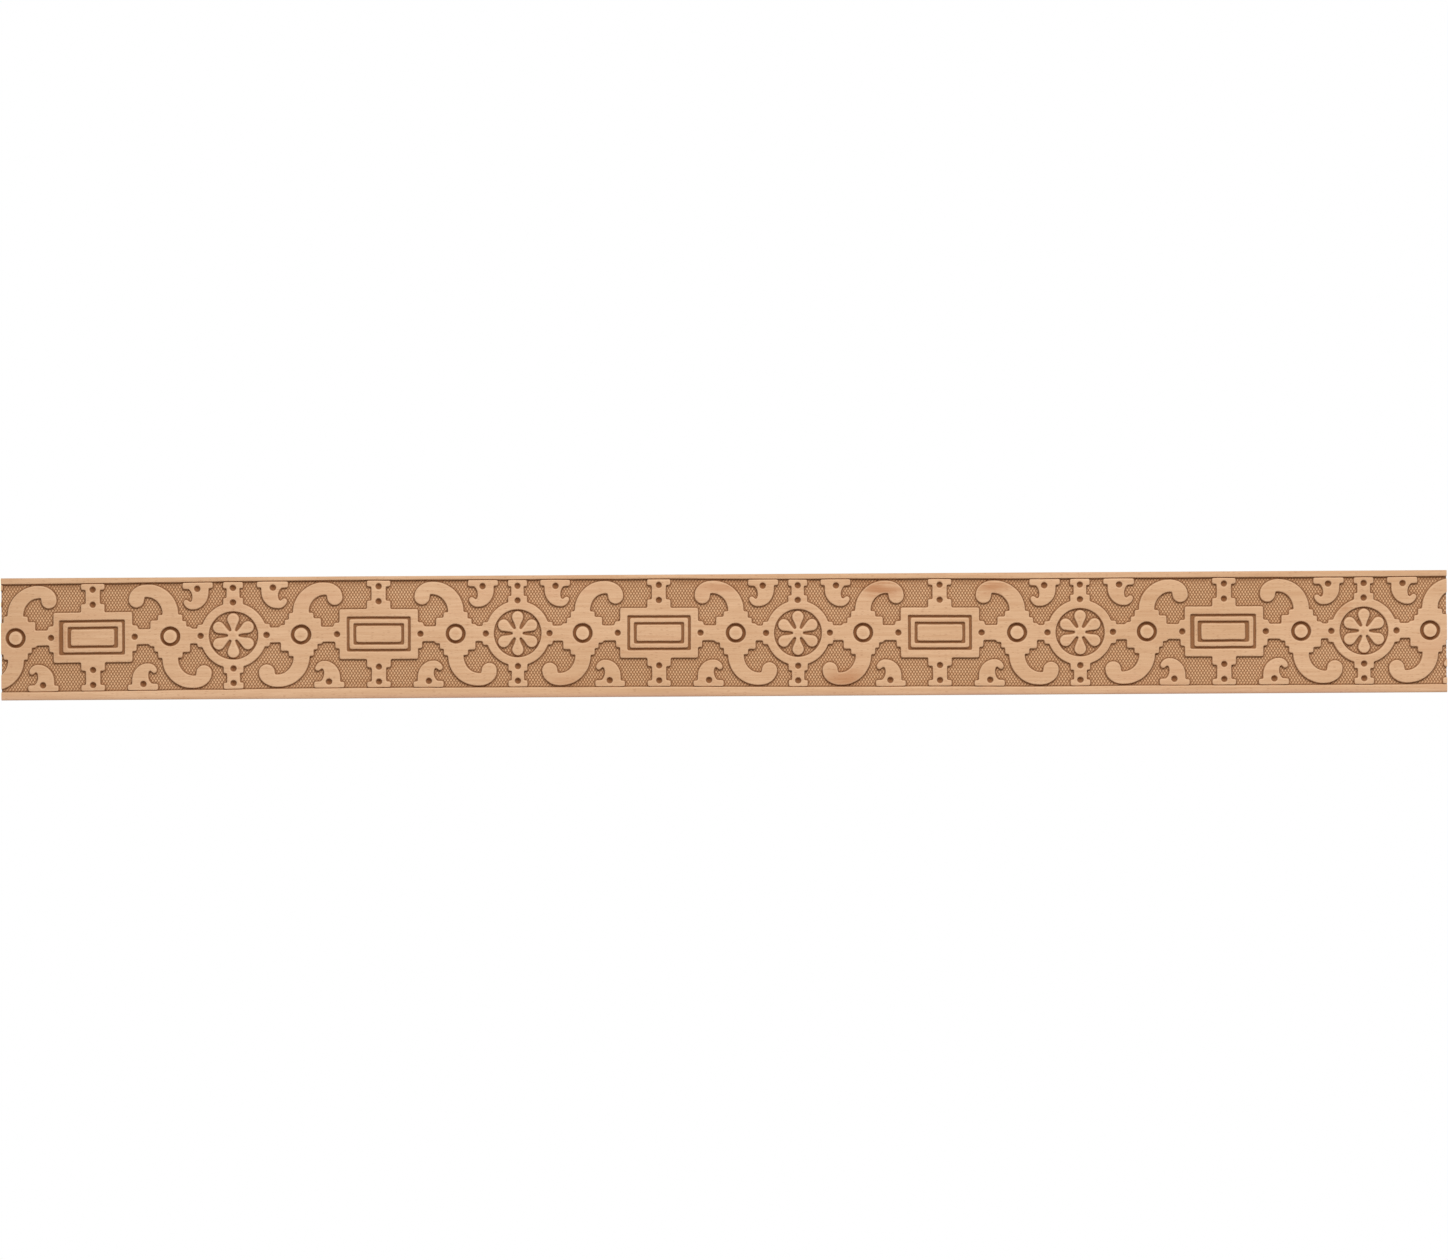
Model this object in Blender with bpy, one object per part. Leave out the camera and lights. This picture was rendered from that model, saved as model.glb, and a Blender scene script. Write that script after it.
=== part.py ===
"""Carved wooden frieze moulding: strapwork in low relief between two plain fillets."""
from math import acos, asin, cos, degrees, pi, radians, sin

import bpy
import bmesh
from mathutils import Matrix

MM = 0.001

# Overall sizes of the moulding, metres
LENGTH = 1000 * MM
WIDTH = 84.5 * MM
THICKNESS = 10 * MM
RELIEF = 2.2 * MM
UPPER_ARRIS = 0.8 * MM
LOWER_ARRIS = 1.6 * MM

# Board: the pattern's axis lies a little above the middle, so the lower fillet is wider
AXIS_ABOVE_MIDDLE = 1.4 * MM
FIELD_TOP = 37.6 * MM
FIELD_BOTTOM = -37.5 * MM
RUN_SPARE = 40 * MM
STRAP_ROOT = 1.0 * MM

# Repeat of the pattern along the run, measured from the middle of a tablet
REPEAT = 195.7 * MM
FIRST_TABLET = -45 * MM
REPEATS_EACH_WAY = 3
RING_FROM_TABLET = 53.5 * MM
ROSETTE_FROM_TABLET = 96.7 * MM
MOTIF_REACH = 30 * MM

# Strap joining the motifs, and the height at which bars and brackets end
ARM = 5.0 * MM
CAP_TOP = 36.8 * MM
DOT_RADIUS = 2.3 * MM

# Tablet with two sunk rectangular grooves, and its upright bars
TABLET = (27.1 * MM, 17.1 * MM)
TABLET_GROOVES = ((22.3 * MM, 12.25 * MM), (20.15 * MM, 10.1 * MM),
                  (17.7 * MM, 7.55 * MM), (15.5 * MM, 5.4 * MM))
TABLET_BAR = (8.0 * MM, 4.8 * MM)
TABLET_BAR_BLOCK_TOP = 22.9 * MM
TABLET_BAR_CAP_FOOT = 33.1 * MM
BLOCK_FALL = 0.2 * MM
TABLET_SHOULDER_UPPER = (30.6 * MM, 7.8 * MM)
TABLET_SHOULDER_FOOT = 31.3 * MM
TABLET_SHOULDER_LOWER = (30.0 * MM, 9.7 * MM)
TABLET_DOTS_HEIGHT = (22.6 * MM, 33.0 * MM)
TABLET_DOT_SIDE = 28.95 * MM

# Stepped cross round a ring groove, with a scroll above and the same scroll turned below
CROSS_STEPS_INNER = ((13.5 * MM, 10.9 * MM), (8.3 * MM, 14.7 * MM))
CROSS_STEPS_OUTER = ((8.2 * MM, 14.8 * MM), (10.9 * MM, 10.3 * MM), (13.6 * MM, 6.5 * MM))
CROSS_FOOT = 14.9 * MM
RING_GROOVE = (7.05 * MM, 4.45 * MM)
SCROLL_SPRING = 14.8 * MM
SCROLL_INNER = {"centre": (-16.2 * MM, 15.2 * MM), "radii": (11.1 * MM, 12.4 * MM), "turn": (0, 90)}
SCROLL_HOOK = (-17.65 * MM, 27.5 * MM)
SCROLL_BULB = {"centre": (-23.2 * MM, 25.6 * MM), "radii": (5.15 * MM, 5.15 * MM), "turn": (0, -180)}
SCROLL_CREST = {"centre": (-16.3 * MM, 26.0 * MM), "radii": (12.05 * MM, 9.85 * MM), "turn": (180, 90)}
SCROLL_SWEEP = {"centre": (-15.3 * MM, 15.15 * MM), "radii": (20.7 * MM, 20.7 * MM), "turn": (90, 0)}

# Ring band round the rosette, its shoulders and upright bars
BAND_RADIUS = 22.3 * MM
RECESS_RADIUS = 16.8 * MM
BAND_SHOULDER = (24.2 * MM, 7.6 * MM)
BAND_SHOULDER_FOOT = 24.4 * MM
BAND_BAR = (6.5 * MM, 4.2 * MM)
BAND_BAR_BLOCK_TOP = 25.8 * MM
BAND_BAR_CAP_FOOT = 32.8 * MM
BAND_DOTS_HEIGHT = (22.8 * MM, 32.9 * MM)
BAND_DOT_SIDE = 22.3 * MM
PETALS = 6
SLOT_END = (3.5 * MM, 0.75 * MM)
PETAL_HEAD_CENTRE = 11.15 * MM
PETAL_HEAD_RADIUS = 3.75 * MM
PETAL_HEAD_TURN = 118

# Bracket standing on the lower border, and the same bracket turned to hang from the upper one
BRACKET_FROM_RING = -19.1 * MM
BRACKET_FOOT = 10.3 * MM
BRACKET_FOOT_TOP = (-33.2 * MM, -32.9 * MM)
BRACKET_BACK = {"centre": (3.5 * MM, -30.0 * MM), "radii": (10.8 * MM, 11.4 * MM), "turn": (180, 90)}
BRACKET_CROWN = {"centre": (3.7 * MM, -24.8 * MM), "radii": (6.2 * MM, 6.2 * MM), "turn": (75, 20)}
BRACKET_TIP = {"centre": (7.9 * MM, -23.3 * MM), "radii": (1.75 * MM, 1.75 * MM), "turn": (0, -100)}
BRACKET_NOTCH = ((5.3 * MM, -23.4 * MM), (4.4 * MM, -23.9 * MM))
BRACKET_INSIDE = {"centre": (11.5 * MM, -27.0 * MM), "radii": (7.95 * MM, 7.95 * MM), "turn": (160, 226)}
BRACKET_DOT = (0.3 * MM, -32.7 * MM)
BRACKET_DOT_RADIUS = 2.35 * MM

# Steps in each round stretch
STEPS_INNER = 4
STEPS_BULB = 5
STEPS_CREST = 2
STEPS_SWEEP = 5
STEPS_BAND = 3
STEPS_BACK = 3
STEPS_CROWN = 1
STEPS_TIP = 2
STEPS_INSIDE = 3
STEPS_HEAD = 4
STEPS_DOT = 6
STEPS_RING = 10
STEPS_RECESS = 16

BEECH = (0.66, 0.42, 0.25, 1.0)
BEECH_ROUGHNESS = 0.62

# How a flat drawing is placed: facing the front, and as a section along the run
FACE_TO_FRONT = Matrix(((1, 0, 0, 0), (0, 0, -1, 0), (0, 1, 0, 0), (0, 0, 0, 1)))
SECTION_ALONG_RUN = Matrix(((0, 0, -1, 0), (-1, 0, 0, 0), (0, 1, 0, 0), (0, 0, 0, 1)))
WELD = 0.01 * MM


def arc(centre, radii, turn, steps):
    """Points of an elliptical arc between two angles in degrees."""
    first, last = turn
    points = []
    for index in range(steps + 1):
        angle = radians(first + (last - first) * index / steps)
        points.append((centre[0] + radii[0] * cos(angle), centre[1] + radii[1] * sin(angle)))
    return points


def circle(centre, radius, steps):
    return arc(centre, (radius, radius), (0, 360), steps)[:-1]


def rectangle(half):
    return [(-half[0], -half[1]), (half[0], -half[1]), (half[0], half[1]), (-half[0], half[1])]


def mirrored(points):
    """The same points seen in a mirror, still running left to right."""
    return [(-u, v) for u, v in reversed(points)]


def turned(points):
    """The same points turned half round."""
    return [(-u, -v) for u, v in points]


def moved(points, along):
    return [(u + along, v) for u, v in points]


def both_sides(half):
    """A left-right symmetric upper edge from its right half, which runs outwards in."""
    left = [(-u, v) for u, v in half]
    return left + half[::-1]


def upright_bar(widths, block_top, cap_foot):
    """Right side of a bar with a block at its foot and a cap at its head, going up."""
    wide, narrow = widths
    block = [(wide, block_top - BLOCK_FALL), (narrow, block_top)]
    cap = [(narrow, cap_foot), (wide, cap_foot), (wide, CAP_TOP)]
    return block + cap


def tablet_upper():
    half = [(TABLET_SHOULDER_FOOT, ARM), TABLET_SHOULDER_UPPER, (TABLET[0], TABLET_SHOULDER_UPPER[1])]
    half += [TABLET, (TABLET_BAR[0], TABLET[1] + BLOCK_FALL)]
    half += upright_bar(TABLET_BAR, TABLET_BAR_BLOCK_TOP, TABLET_BAR_CAP_FOOT)
    return both_sides(half)


def tablet_lower():
    half = [(TABLET_SHOULDER_LOWER[0], ARM), TABLET_SHOULDER_LOWER, (TABLET[0], TABLET_SHOULDER_LOWER[1])]
    half += [TABLET, (TABLET_BAR[0], TABLET[1] + BLOCK_FALL)]
    half += upright_bar(TABLET_BAR, TABLET_BAR_BLOCK_TOP, TABLET_BAR_CAP_FOOT)
    return [(u, -v) for u, v in both_sides(half)]


def ring_upper():
    """Upper edge of the stepped cross and its scroll, left to right."""
    (first_reach, first_top), (second_reach, second_top) = CROSS_STEPS_INNER
    edge = [(-first_reach, ARM), (-first_reach, first_top), (-second_reach, first_top)]
    edge += [(-second_reach, second_top)]
    inner = arc(**SCROLL_INNER, steps=STEPS_INNER)
    edge += [(inner[0][0], second_top)] + inner[1:]
    edge += [SCROLL_HOOK]
    edge += arc(**SCROLL_BULB, steps=STEPS_BULB)
    edge += arc(**SCROLL_CREST, steps=STEPS_CREST)[1:]
    edge += arc(**SCROLL_SWEEP, steps=STEPS_SWEEP)[1:-1]
    edge += [(SCROLL_SWEEP["centre"][0] + SCROLL_SWEEP["radii"][0], SCROLL_SPRING)]
    (top_reach, top), (middle_reach, middle), (low_reach, low) = CROSS_STEPS_OUTER
    edge += [(top_reach, top), (top_reach, middle), (middle_reach, middle)]
    edge += [(middle_reach, low), (low_reach, low), (CROSS_FOOT, ARM)]
    return edge


def ring_lower():
    return list(reversed(turned(ring_upper())))


def band_upper():
    """Upper edge of the band round the rosette, with its shoulders and bar."""
    first = degrees(asin(BAND_SHOULDER[1] / BAND_RADIUS))
    last = degrees(acos(BAND_BAR[0] / BAND_RADIUS))
    half = [(BAND_SHOULDER_FOOT, ARM), BAND_SHOULDER]
    half += arc((0, 0), (BAND_RADIUS, BAND_RADIUS), (first, last), STEPS_BAND)
    half += upright_bar(BAND_BAR, BAND_BAR_BLOCK_TOP, BAND_BAR_CAP_FOOT)
    return both_sides(half)


def band_lower():
    return [(u, -v) for u, v in band_upper()]


def rosette():
    """Six drop-shaped petals grown together at the middle."""
    head = arc((PETAL_HEAD_CENTRE, 0), (PETAL_HEAD_RADIUS, PETAL_HEAD_RADIUS),
               (-PETAL_HEAD_TURN, PETAL_HEAD_TURN), STEPS_HEAD)
    to_slot = pi / PETALS
    reach, half_width = SLOT_END
    slot = [(reach * cos(to_slot) + way * half_width * sin(to_slot),
             reach * sin(to_slot) - way * half_width * cos(to_slot)) for way in (1, -1)]
    petal = head + slot
    points = []
    for index in range(PETALS):
        angle = radians(90 + index * 360 / PETALS)
        points += [(r * cos(angle) - w * sin(angle), r * sin(angle) + w * cos(angle)) for r, w in petal]
    return points


def bracket():
    edge = [(-BRACKET_FOOT, -CAP_TOP), (-BRACKET_FOOT, BRACKET_FOOT_TOP[0])]
    back = arc(**BRACKET_BACK, steps=STEPS_BACK)
    edge += [(back[0][0], BRACKET_FOOT_TOP[0])] + back
    edge += arc(**BRACKET_CROWN, steps=STEPS_CROWN)
    edge += arc(**BRACKET_TIP, steps=STEPS_TIP)
    edge += list(BRACKET_NOTCH)
    edge += arc(**BRACKET_INSIDE, steps=STEPS_INSIDE)
    edge += [(BRACKET_FOOT, BRACKET_FOOT_TOP[1]), (BRACKET_FOOT, -CAP_TOP)]
    return edge


def tablet_loops():
    loops = [rectangle(half) for half in TABLET_GROOVES]
    dots = [(0, side * height) for side in (-1, 1) for height in TABLET_DOTS_HEIGHT]
    dots += [(side * TABLET_DOT_SIDE, 0) for side in (-1, 1)]
    return loops + [circle(dot, DOT_RADIUS, STEPS_DOT) for dot in dots]


def band_loops():
    loops = [circle((0, 0), RECESS_RADIUS, STEPS_RECESS), rosette()]
    dots = [(0, side * height) for side in (-1, 1) for height in BAND_DOTS_HEIGHT]
    dots += [(side * BAND_DOT_SIDE, 0) for side in (-1, 1)]
    return loops + [circle(dot, DOT_RADIUS, STEPS_DOT) for dot in dots]


def ring_loops():
    loops = [circle((0, 0), radius, STEPS_RING) for radius in RING_GROOVE]
    standing = moved(bracket(), BRACKET_FROM_RING)
    dot = circle((BRACKET_FROM_RING + BRACKET_DOT[0], BRACKET_DOT[1]), BRACKET_DOT_RADIUS, STEPS_DOT)
    return loops + [standing, dot, turned(standing), turned(dot)]


def motifs_along_the_run():
    """Every motif that touches the length, left to right: where it is, its edges and its own loops."""
    ring = (ring_upper(), ring_lower(), ring_loops())
    ring_mirrored = tuple(mirrored(edge) for edge in ring[:2]) + ([mirrored(loop) for loop in ring[2]],)
    tablet = (tablet_upper(), tablet_lower(), tablet_loops())
    band = (band_upper(), band_lower(), band_loops())
    places = []
    for index in range(-REPEATS_EACH_WAY, REPEATS_EACH_WAY + 1):
        start = FIRST_TABLET + index * REPEAT
        places.append((start, tablet))
        places.append((start + RING_FROM_TABLET, ring))
        places.append((start + ROSETTE_FROM_TABLET, band))
        places.append((start + REPEAT - RING_FROM_TABLET, ring_mirrored))
    return [place for place in places if abs(place[0]) < LENGTH / 2 + MOTIF_REACH / 2]


def strapwork_loops():
    upper, lower, loops = [], [], []
    for along, (upper_edge, lower_edge, own_loops) in motifs_along_the_run():
        upper += moved(upper_edge, along)
        lower += moved(lower_edge, along)
        loops += [moved(loop, along) for loop in own_loops]
    return [upper + lower[::-1]] + loops


def board_profile():
    """Section of the board: distance in front of the back face, height above its middle."""
    half = WIDTH / 2
    ground = THICKNESS - RELIEF
    top = AXIS_ABOVE_MIDDLE + FIELD_TOP
    bottom = AXIS_ABOVE_MIDDLE + FIELD_BOTTOM
    lower_fillet = [(0, -half), (THICKNESS - LOWER_ARRIS, -half), (THICKNESS, LOWER_ARRIS - half)]
    field = [(THICKNESS, bottom), (ground, bottom), (ground, top), (THICKNESS, top)]
    upper_fillet = [(THICKNESS, half - UPPER_ARRIS), (THICKNESS - UPPER_ARRIS, half), (0, half)]
    return lower_fillet + field + upper_fillet


def extruded(name, loops, half_depth, placing):
    """A closed solid of the nested outlines, drawn flat and given its depth both ways."""
    curve = bpy.data.curves.new(name + "_outline", "CURVE")
    curve.dimensions = "2D"
    curve.fill_mode = "BOTH"
    curve.extrude = half_depth
    for loop in loops:
        spline = curve.splines.new("POLY")
        spline.points.add(len(loop) - 1)
        for point, (u, v) in zip(spline.points, loop):
            point.co = (u, v, 0, 1)
        spline.use_cyclic_u = True
    drawn = bpy.data.objects.new(name + "_outline", curve)
    bpy.context.scene.collection.objects.link(drawn)
    drawn.matrix_world = placing
    bpy.context.view_layer.update()
    depsgraph = bpy.context.evaluated_depsgraph_get()
    mesh = bpy.data.meshes.new_from_object(drawn.evaluated_get(depsgraph))
    welded = bmesh.new()
    welded.from_mesh(mesh)
    bmesh.ops.remove_doubles(welded, verts=welded.verts, dist=WELD)
    bmesh.ops.recalc_face_normals(welded, faces=welded.faces)
    welded.to_mesh(mesh)
    welded.free()
    mesh.name = name
    solid = bpy.data.objects.new(name, mesh)
    solid.matrix_world = drawn.matrix_world.copy()
    bpy.data.objects.remove(drawn)
    return solid


def box(name, size):
    mesh = bpy.data.meshes.new(name)
    shape = bmesh.new()
    bmesh.ops.create_cube(shape, size=1)
    bmesh.ops.scale(shape, vec=size, verts=shape.verts)
    shape.to_mesh(mesh)
    shape.free()
    return bpy.data.objects.new(name, mesh)


def combine(target, other, operation):
    modifier = target.modifiers.new(other.name, "BOOLEAN")
    modifier.operation = operation
    modifier.solver = "EXACT"
    modifier.object = other


def beech():
    material = bpy.data.materials.new("beech")
    material.use_nodes = True
    shader = material.node_tree.nodes["Principled BSDF"]
    shader.inputs["Base Color"].default_value = BEECH
    shader.inputs["Roughness"].default_value = BEECH_ROUGHNESS
    return material


def new_collection(name):
    collection = bpy.data.collections.new(name)
    bpy.context.scene.collection.children.link(collection)
    return collection


for old in list(bpy.data.objects):
    bpy.data.objects.remove(old)

parts = new_collection("carved_moulding")
shaping = new_collection("shaping")

run = LENGTH / 2 + RUN_SPARE
moulding = extruded("moulding", [board_profile()], run, SECTION_ALONG_RUN)
parts.objects.link(moulding)

strap_depth = (RELIEF + STRAP_ROOT) / 2
strap_middle = THICKNESS - strap_depth
strap_placing = Matrix.Translation((0, -strap_middle, AXIS_ABOVE_MIDDLE)) @ FACE_TO_FRONT
strapwork = extruded("strapwork", strapwork_loops(), strap_depth, strap_placing)
clear_length = box("clear_length", (LENGTH, 4 * THICKNESS, 2 * WIDTH))
for shape in (strapwork, clear_length):
    shaping.objects.link(shape)
    shape.hide_render = True
    shape.display_type = "WIRE"

combine(moulding, strapwork, "UNION")
combine(moulding, clear_length, "INTERSECT")
moulding.data.materials.append(beech())
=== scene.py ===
"""Carved wooden frieze moulding: soft-edged strapwork in relief on a cross-hatched ground."""

from math import acos, asin, cos, degrees, pi, radians, sin

import bmesh
import bpy
import numpy as np
from mathutils import Matrix, Vector, noise
from mathutils.geometry import delaunay_2d_cdt


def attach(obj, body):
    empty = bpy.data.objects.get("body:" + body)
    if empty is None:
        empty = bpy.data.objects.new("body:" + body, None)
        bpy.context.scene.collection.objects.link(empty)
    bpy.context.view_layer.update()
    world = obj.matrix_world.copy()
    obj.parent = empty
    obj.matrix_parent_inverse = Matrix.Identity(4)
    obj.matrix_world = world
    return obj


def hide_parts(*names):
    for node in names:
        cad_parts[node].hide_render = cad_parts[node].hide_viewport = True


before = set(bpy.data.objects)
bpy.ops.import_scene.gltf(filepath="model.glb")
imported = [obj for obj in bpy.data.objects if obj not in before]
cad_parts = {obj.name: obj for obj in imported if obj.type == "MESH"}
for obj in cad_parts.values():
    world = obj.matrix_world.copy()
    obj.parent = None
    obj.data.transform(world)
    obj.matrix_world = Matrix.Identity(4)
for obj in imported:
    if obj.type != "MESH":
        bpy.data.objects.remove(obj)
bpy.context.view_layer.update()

# Millimetres in a metre, and lengths too small to matter
MM = 1000
TINY = 1e-9
TOUCHING = 1e-6

# Sizes of the moulding in millimetres, in the pattern's own frame: u along the run, v up from its axis
LENGTH = 1000.0
WIDTH = 84.5
THICKNESS = 10.0
RELIEF = 2.2
AXIS_ABOVE_MIDDLE = 1.4
FIELD_TOP = 37.6
FIELD_BOTTOM = -37.5
EDGE_TOP = WIDTH / 2 - AXIS_ABOVE_MIDDLE
EDGE_BOTTOM = -WIDTH / 2 - AXIS_ABOVE_MIDDLE
UPPER_ARRIS = (0.9, 0.8)
LOWER_ARRIS = (2.2, 1.5)
OUTER_EDGES = ((EDGE_TOP, 1, UPPER_ARRIS), (EDGE_BOTTOM, -1, LOWER_ARRIS))
BACK_ARRIS = 0.3
EDGE_LINE = 0.05
RUN_SPARE = 15.0

REPEAT = 195.7
FIRST_TABLET = -45.0
REPEATS_EACH_WAY = 3
RING_FROM_TABLET = 53.5
ROSETTE_FROM_TABLET = 96.7
MOTIF_REACH = 45.0

ARM = 5.0
CAP_TOP = 36.8
DOT_RADIUS = 2.3

TABLET = (27.1, 17.1)
TABLET_GROOVES = ((22.3, 12.25), (20.15, 10.1), (17.7, 7.55), (15.5, 5.4))
TABLET_BAR = (8.0, 4.8)
TABLET_BAR_BLOCK_TOP = 22.9
TABLET_BAR_CAP_FOOT = 33.1
TABLET_SHOULDER_UPPER = (30.6, 7.8)
TABLET_SHOULDER_FOOT = 31.3
TABLET_SHOULDER_LOWER = (30.0, 9.7)
TABLET_DOTS_HEIGHT = (22.6, 33.0)
TABLET_DOT_SIDE = 28.95

CROSS_STEPS_INNER = ((13.5, 10.9), (8.3, 14.7))
CROSS_STEPS_OUTER = ((8.2, 14.8), (10.9, 10.3), (13.6, 6.5))
CROSS_FOOT = 14.9
RING_GROOVE = (7.05, 4.45)
SCROLL_SPRING = 14.8
SCROLL_INNER = {"centre": (-16.2, 15.2), "radii": (11.1, 12.4), "turn": (0, 90)}
SCROLL_HOOK = (-17.65, 27.5)
SCROLL_BULB = {"centre": (-23.2, 25.6), "radii": (5.15, 5.15), "turn": (0, -180)}
SCROLL_CREST = {"centre": (-16.3, 26.0), "radii": (12.05, 9.85), "turn": (180, 90)}
SCROLL_SWEEP = {"centre": (-15.3, 15.15), "radii": (20.7, 20.7), "turn": (90, 0)}

BAND_RADIUS = 22.3
RECESS_RADIUS = 16.8
BAND_SHOULDER = (24.2, 7.6)
BAND_SHOULDER_FOOT = 24.4
BAND_BAR = (6.5, 4.2)
BAND_BAR_BLOCK_TOP = 25.8
BAND_BAR_CAP_FOOT = 32.8
BAND_DOTS_HEIGHT = (22.8, 32.9)
BAND_DOT_SIDE = 22.3
PETALS = 6
SLOT_SIDE = ((7.0, 1.6), (5.2, 1.28), (3.9, 1.0), (3.45, 0.65), (3.3, 0.0))
PETAL_HEAD_CENTRE = 11.3
PETAL_HEAD_RADIUS = 3.85
PETAL_HEAD_TURN = 118
SLOT_REACH = (8.0, 12.0)

BRACKET_FROM_RING = -19.1
BRACKET_FOOT = 10.3
BRACKET_FOOT_TOP = (-33.2, -32.9)
BRACKET_BACK = {"centre": (3.5, -30.0), "radii": (10.8, 11.4), "turn": (180, 90)}
BRACKET_CROWN = {"centre": (3.7, -24.8), "radii": (6.2, 6.2), "turn": (84, 20)}
BRACKET_TIP = {"centre": (7.9, -23.3), "radii": (1.75, 1.75), "turn": (14, -110)}
BRACKET_NOTCH = ((5.3, -23.4), (4.4, -23.9))
BRACKET_INSIDE = {"centre": (11.5, -27.0), "radii": (7.95, 7.95), "turn": (160, 226)}
BRACKET_DOT = (0.3, -32.7)
BRACKET_DOT_RADIUS = 2.35

# Carving: how far an arris is rounded in and down, how far a wall leans out, and the hatching
STRAP_ARRIS = (0.8, 0.5)
PETAL_ARRIS = (1.5, 0.55)
BUTTON_ARRIS = (2.4, 0.35)
WALL_RUN = 0.5
WALL_CURVE = 1.25
CORNER_RADIUS = 1.1
CORNER_SHARE = 0.35
HATCH_ACROSS = 2.12
HATCH_UP = 3.4
HATCH_DEPTH = (0.62, 0.2)
LOZENGE_TOP = 0.5
FOOT_GAP = 0.05
PLAIN_MARGIN = 0.3
DOT_DISH = 0.7
RING_SINK = 0.6
DOT_CORE = 0.4

# How finely the outlines are divided, and the points round each curve
CORNER_STEPS = 2
CORNER_FROM_DEGREES = 35
MITRE_LIMIT = 0.6
LONGEST_STEP = 2.0
STRAIGHT_STEP = 12.0
ARRIS_LINES = (0, 0.25, 1)
OUTER_EDGE_LINES = (0, 0.04, 0.15, 0.4, 1)
FOOT_HALVINGS = 7
MERGE_WITHIN = 0.001
SAWN_WITHIN = 1e-7
SHARP_FROM_DEGREES = 50
STEPS_SCROLL = {"inner": 10, "bulb": 12, "crest": 6, "sweep": 14}
STEPS_BRACKET = {"back": 9, "crown": 5, "tip": 6, "inside": 6}
STEPS_BAND = 10
STEPS_PETAL = 12
STEPS_DOT = 14
STEPS_DOT_CORE = 6
STEPS_RECESS = 56
STEPS_RING = 32
STEPS_BUTTON = 28

# Shade in the nooks: how far it fades out over the ground, in millimetres, and its strength in grooves
NOOK_FADE = (0.55, 0.95)
FILLET_FADE = 2.2
FILLET_TIE = 0.01
RECESS_FADE = 0.9
GROOVE_SHARE = 0.88
# Share of the arris over which the painted highlight along the edges fades out
HIGHLIGHT_SHARE = 0.75

# How the pattern creeps as the strip is fed through: place along the run, shift along it, shift up
CREEP = ((-480, -0.2, -0.7), (-350, -0.2, 0.3), (-285, 2.0, 0.9), (-160, 1.5, 0.8),
         (-30, -0.2, 0.6), (30, -0.3, 0.0), (160, -1.5, -0.3), (225, -1.4, -0.8),
         (290, -0.3, -0.5), (415, -0.7, -0.8), (480, 0.0, -0.7))
CREEP_BLEND = 12.0

# Groove sides that were cut off their line in the end tablets: repeats from the first tablet, side, shift
SLIPS = ((-2, -TABLET_GROOVES[0][0], -1.3), (-2, -TABLET_GROOVES[3][0], 0.5),
         (-2, TABLET_GROOVES[3][0], -0.9), (2, -TABLET_GROOVES[0][0], -1.3),
         (2, -TABLET_GROOVES[2][0], -0.8), (2, TABLET_GROOVES[3][0], -1.1))
SLIP_REACH = 1.1

# Unevenness left by the tools: reach, length and place in the noise, calm towards the outer edges
SWAY = (0.14, 23.0, 3.1)
WOBBLE = (0.13, 3.2, 17.7)
SEED = 4
CALM_EDGE = 3.0
UNEVEN_HEIGHT = 0.6

# Search for the nearest outline: points at a time, and how far to look
CHUNK = 600
LOOK_AWAY = 9.0
END_SPARE = 6


def arc(centre, radii, turn, steps):
    first, last = turn
    points = []
    for index in range(steps + 1):
        angle = radians(first + (last - first) * index / steps)
        points.append((centre[0] + radii[0] * cos(angle), centre[1] + radii[1] * sin(angle)))
    return points


def circle(centre, radius, steps):
    return arc(centre, (radius, radius), (0, 360), steps)[:-1]


def rectangle(half):
    return [(-half[0], -half[1]), (half[0], -half[1]), (half[0], half[1]), (-half[0], half[1])]


def mirrored(points):
    return [(-u, v) for u, v in reversed(points)]


def turned(points):
    return [(-u, -v) for u, v in points]


def moved(points, along):
    return [(u + along, v) for u, v in points]


def both_sides(half):
    left = [(-u, v) for u, v in half]
    return left + half[::-1]


def upright_bar(widths, block_top, cap_foot):
    wide, narrow = widths
    return [(wide, block_top), (narrow, block_top), (narrow, cap_foot), (wide, cap_foot), (wide, CAP_TOP)]


def tablet_half(shoulder):
    half = [shoulder, (TABLET[0], shoulder[1]), TABLET, (TABLET_BAR[0], TABLET[1])]
    return half + upright_bar(TABLET_BAR, TABLET_BAR_BLOCK_TOP, TABLET_BAR_CAP_FOOT)


def tablet_upper():
    return both_sides([(TABLET_SHOULDER_FOOT, ARM)] + tablet_half(TABLET_SHOULDER_UPPER))


def tablet_lower():
    half = [(TABLET_SHOULDER_LOWER[0], ARM)] + tablet_half(TABLET_SHOULDER_LOWER)
    return [(u, -v) for u, v in both_sides(half)]


def ring_upper():
    (first_reach, first_top), (second_reach, second_top) = CROSS_STEPS_INNER
    edge = [(-first_reach, ARM), (-first_reach, first_top), (-second_reach, first_top)]
    edge += [(-second_reach, second_top)]
    inner = arc(**SCROLL_INNER, steps=STEPS_SCROLL["inner"])
    edge += [(inner[0][0], second_top)] + inner[1:]
    edge += [SCROLL_HOOK]
    edge += arc(**SCROLL_BULB, steps=STEPS_SCROLL["bulb"])
    edge += arc(**SCROLL_CREST, steps=STEPS_SCROLL["crest"])[1:]
    edge += arc(**SCROLL_SWEEP, steps=STEPS_SCROLL["sweep"])[1:-1]
    edge += [(SCROLL_SWEEP["centre"][0] + SCROLL_SWEEP["radii"][0], SCROLL_SPRING)]
    (top_reach, top), (middle_reach, middle), (low_reach, low) = CROSS_STEPS_OUTER
    edge += [(top_reach, top), (top_reach, middle), (middle_reach, middle)]
    edge += [(middle_reach, low), (low_reach, low), (CROSS_FOOT, ARM)]
    return edge


def ring_lower():
    return list(reversed(turned(ring_upper())))


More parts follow.
